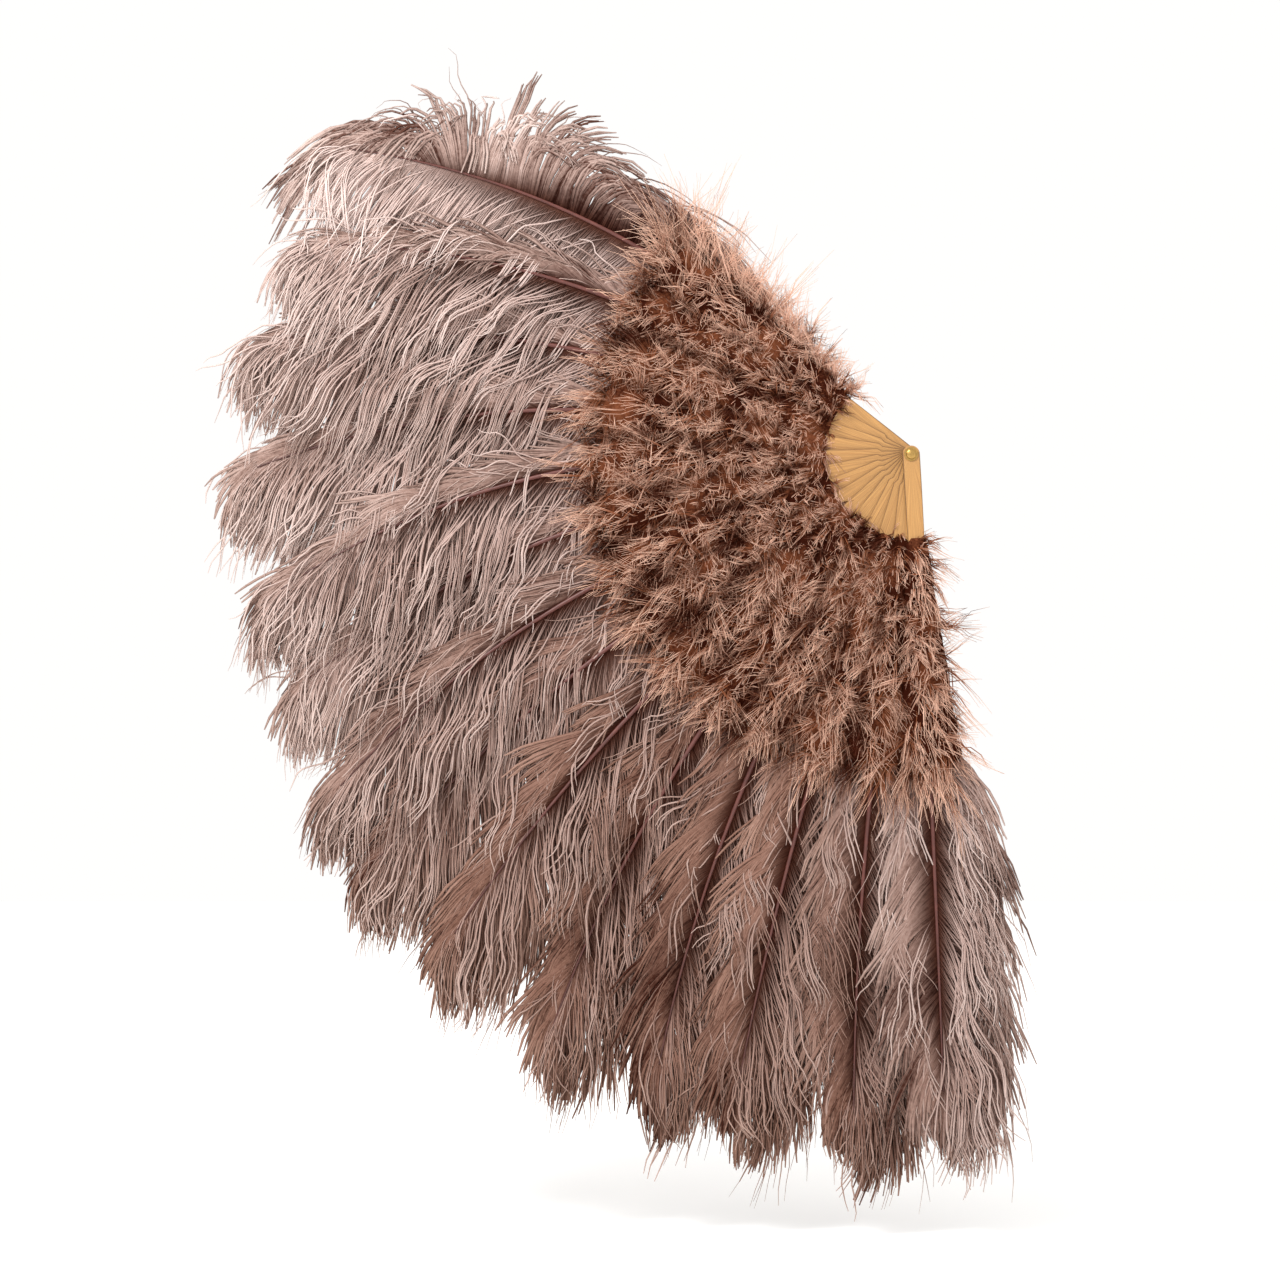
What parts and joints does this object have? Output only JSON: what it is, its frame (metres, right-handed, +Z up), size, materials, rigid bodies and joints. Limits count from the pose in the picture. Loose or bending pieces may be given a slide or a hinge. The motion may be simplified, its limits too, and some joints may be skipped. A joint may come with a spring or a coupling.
{
  "type": "feather fan",
  "caption": "Large folding hand fan with bamboo staves on one rivet, marabou strips on the staves and long drooping ostrich plumes behind their outer ends.",
  "frame": {"origin": "on the rivet's axis, halfway through the stack of staves, where the hand holds the fan", "axes": "+Z up as held; the fan lies in the XZ plane with its front facing -Y, and opens towards -X and -Z"},
  "size_m": [0.8473, 0.1324, 1.1267],
  "materials": {
    "bamboo": "clear satin lacquer",
    "brass": "satin",
    "ostrich": "dyed ostrich plume, dusty mauve",
    "marabou": "dyed marabou, red-brown",
    "ribbon": "satin ribbon"
  },
  "bodies": {
    "rear_guard": {"rear_guard": "bamboo", "plume_01": "ostrich", "marabou_01": "marabou", "marabou_rear": "marabou", "rear_washer": "brass", "pivot_rivet": "brass"},
    "stave_02": {"stave_02": "bamboo", "plume_02": "ostrich", "marabou_02": "marabou", "ribbon_link_01": "ribbon"},
    "stave_03": {"stave_03": "bamboo", "plume_03": "ostrich", "marabou_03": "marabou", "ribbon_link_02": "ribbon"},
    "stave_04": {"stave_04": "bamboo", "plume_04": "ostrich", "marabou_04": "marabou", "ribbon_link_03": "ribbon"},
    "stave_05": {"stave_05": "bamboo", "plume_05": "ostrich", "marabou_05": "marabou", "ribbon_link_04": "ribbon"},
    "stave_06": {"stave_06": "bamboo", "plume_06": "ostrich", "marabou_06": "marabou", "ribbon_link_05": "ribbon"},
    "stave_07": {"stave_07": "bamboo", "plume_07": "ostrich", "marabou_07": "marabou", "ribbon_link_06": "ribbon"},
    "stave_08": {"stave_08": "bamboo", "plume_08": "ostrich", "marabou_08": "marabou", "ribbon_link_07": "ribbon"},
    "stave_09": {"stave_09": "bamboo", "plume_09": "ostrich", "marabou_09": "marabou", "ribbon_link_08": "ribbon"},
    "stave_10": {"stave_10": "bamboo", "plume_10": "ostrich", "marabou_10": "marabou", "ribbon_link_09": "ribbon"},
    "stave_11": {"stave_11": "bamboo", "plume_11": "ostrich", "marabou_11": "marabou", "ribbon_link_10": "ribbon"},
    "stave_12": {"stave_12": "bamboo", "plume_12": "ostrich", "marabou_12": "marabou", "ribbon_link_11": "ribbon"},
    "stave_13": {"stave_13": "bamboo", "plume_13": "ostrich", "marabou_13": "marabou", "ribbon_link_12": "ribbon"},
    "front_guard": {"front_guard": "bamboo", "plume_14": "ostrich", "marabou_14": "marabou", "ribbon_link_13": "ribbon", "front_washer": "brass"}
  },
  "joints": [
    {"name": "spread_01", "type": "hinge", "parent": "rear_guard", "child": "stave_02", "pos_m": [0, 0, 0], "axis": [0, 1, 0], "range_deg": [0, 10.15], "deforming": ["ribbon_link_01"]},
    {"name": "spread_02", "type": "hinge", "parent": "stave_02", "child": "stave_03", "pos_m": [0, 0, 0], "axis": [0, 1, 0], "range_deg": [0, 10.15], "deforming": ["ribbon_link_02"]},
    {"name": "spread_03", "type": "hinge", "parent": "stave_03", "child": "stave_04", "pos_m": [0, 0, 0], "axis": [0, 1, 0], "range_deg": [0, 10.15], "deforming": ["ribbon_link_03"]},
    {"name": "spread_04", "type": "hinge", "parent": "stave_04", "child": "stave_05", "pos_m": [0, 0, 0], "axis": [0, 1, 0], "range_deg": [0, 10.15], "deforming": ["ribbon_link_04"]},
    {"name": "spread_05", "type": "hinge", "parent": "stave_05", "child": "stave_06", "pos_m": [0, 0, 0], "axis": [0, 1, 0], "range_deg": [0, 10.15], "deforming": ["ribbon_link_05"]},
    {"name": "spread_06", "type": "hinge", "parent": "stave_06", "child": "stave_07", "pos_m": [0, 0, 0], "axis": [0, 1, 0], "range_deg": [0, 10.15], "deforming": ["ribbon_link_06"]},
    {"name": "spread_07", "type": "hinge", "parent": "stave_07", "child": "stave_08", "pos_m": [0, 0, 0], "axis": [0, 1, 0], "range_deg": [0, 10.15], "deforming": ["ribbon_link_07"]},
    {"name": "spread_08", "type": "hinge", "parent": "stave_08", "child": "stave_09", "pos_m": [0, 0, 0], "axis": [0, 1, 0], "range_deg": [0, 10.15], "deforming": ["ribbon_link_08"]},
    {"name": "spread_09", "type": "hinge", "parent": "stave_09", "child": "stave_10", "pos_m": [0, 0, 0], "axis": [0, 1, 0], "range_deg": [0, 10.15], "deforming": ["ribbon_link_09"]},
    {"name": "spread_10", "type": "hinge", "parent": "stave_10", "child": "stave_11", "pos_m": [0, 0, 0], "axis": [0, 1, 0], "range_deg": [0, 10.15], "deforming": ["ribbon_link_10"]},
    {"name": "spread_11", "type": "hinge", "parent": "stave_11", "child": "stave_12", "pos_m": [0, 0, 0], "axis": [0, 1, 0], "range_deg": [0, 10.15], "deforming": ["ribbon_link_11"]},
    {"name": "spread_12", "type": "hinge", "parent": "stave_12", "child": "stave_13", "pos_m": [0, 0, 0], "axis": [0, 1, 0], "range_deg": [0, 10.15], "deforming": ["ribbon_link_12"]},
    {"name": "spread_13", "type": "hinge", "parent": "stave_13", "child": "front_guard", "pos_m": [0, 0, 0], "axis": [0, 1, 0], "range_deg": [0, 10.15], "deforming": ["ribbon_link_13"]}
  ],
  "couplings": [
    {"joint": "spread_02", "follows": "spread_01", "ratio": 1},
    {"joint": "spread_03", "follows": "spread_01", "ratio": 1},
    {"joint": "spread_04", "follows": "spread_01", "ratio": 1},
    {"joint": "spread_05", "follows": "spread_01", "ratio": 1},
    {"joint": "spread_06", "follows": "spread_01", "ratio": 1},
    {"joint": "spread_07", "follows": "spread_01", "ratio": 1},
    {"joint": "spread_08", "follows": "spread_01", "ratio": 1},
    {"joint": "spread_09", "follows": "spread_01", "ratio": 1},
    {"joint": "spread_10", "follows": "spread_01", "ratio": 1},
    {"joint": "spread_11", "follows": "spread_01", "ratio": 1},
    {"joint": "spread_12", "follows": "spread_01", "ratio": 1},
    {"joint": "spread_13", "follows": "spread_01", "ratio": 1}
  ]
}
